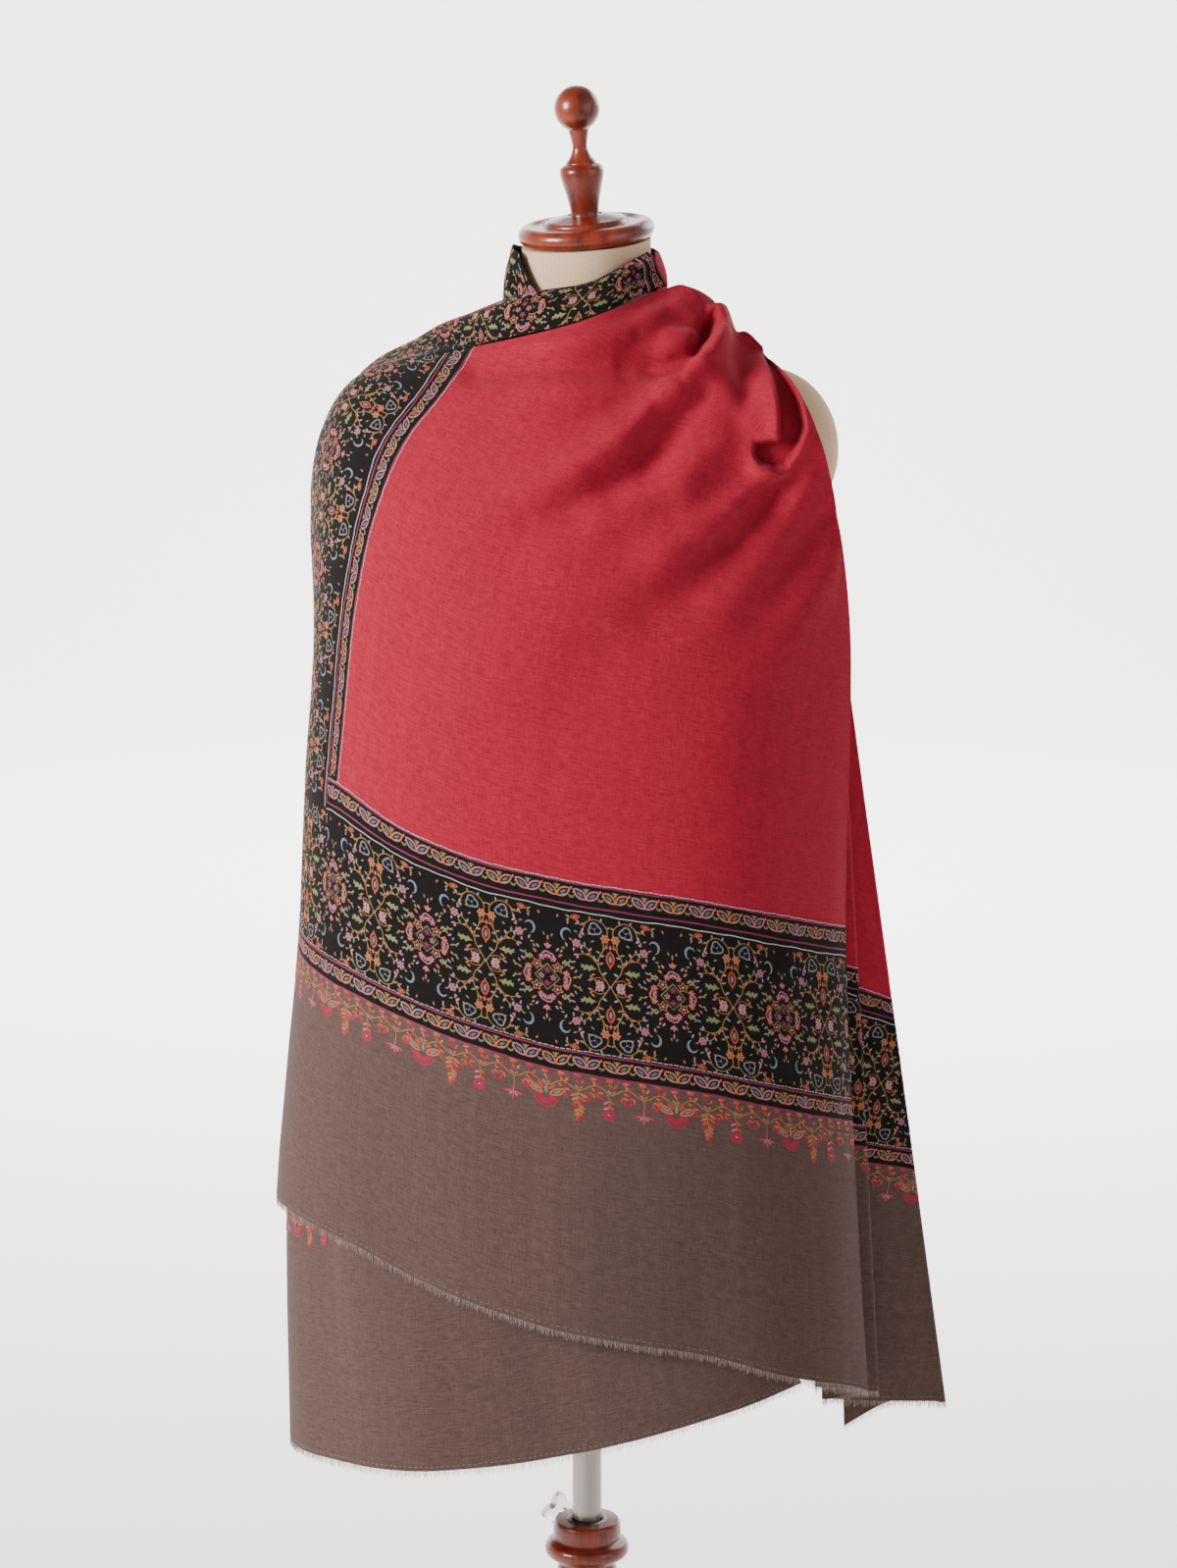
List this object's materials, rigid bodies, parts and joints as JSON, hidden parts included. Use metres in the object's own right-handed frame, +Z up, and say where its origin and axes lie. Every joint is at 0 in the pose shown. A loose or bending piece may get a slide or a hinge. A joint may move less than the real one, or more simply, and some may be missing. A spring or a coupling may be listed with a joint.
{
  "type": "pashmina shawl on dress form",
  "caption": "Embroidered pashmina shawl with bordered edges and fringed ends, wrapped over one shoulder of a linen limbless dress form on a turned wooden stand with height clamp",
  "frame": {"origin": "middle of the round stand's foot, on the floor, on the pole's axis", "axes": "+Z up along the pole, the form faces -Y, its left shoulder is toward +X"},
  "size_m": [0.5199, 0.3941, 1.6353],
  "materials": {
    "mahogany": "gloss",
    "dark_steel": "satin",
    "satin_steel": "satin",
    "clear_acrylic": "gloss",
    "linen": "matte",
    "red_pashmina": "matte",
    "black_pashmina": "matte",
    "taupe_pashmina": "matte"
  },
  "bodies": {
    "stand": {"stand_base": "mahogany", "stand_post": "mahogany", "socket_liner": "dark_steel"},
    "pole": {"form_pole": "satin_steel"},
    "form": {"form_torso": "linen", "neck_cap": "mahogany", "neck_finial": "mahogany", "shawl_front": "red_pashmina", "shawl_fall": "red_pashmina", "shawl_back": "red_pashmina", "shawl_under": "taupe_pashmina", "shawl_neck_band": "black_pashmina", "shawl_collar": "black_pashmina", "fringe_front": "taupe_pashmina", "fringe_fall": "taupe_pashmina", "fringe_back": "taupe_pashmina", "fringe_under": "taupe_pashmina"},
    "knob": {"clamp_knob": "clear_acrylic"}
  },
  "joints": [
    {"name": "height", "type": "slide", "parent": "stand", "child": "pole", "axis": [0, 0, 1], "range_m": [-0.12, 0.1]},
    {"name": "swivel", "type": "hinge", "parent": "pole", "child": "form", "pos_m": [0, 0, 0.75], "axis": [0, 0, 1], "continuous": true},
    {"name": "clamp", "type": "hinge", "parent": "stand", "child": "knob", "pos_m": [0, 0, 0.406], "axis": [-0.829, 0.5592, 0], "continuous": true}
  ]
}
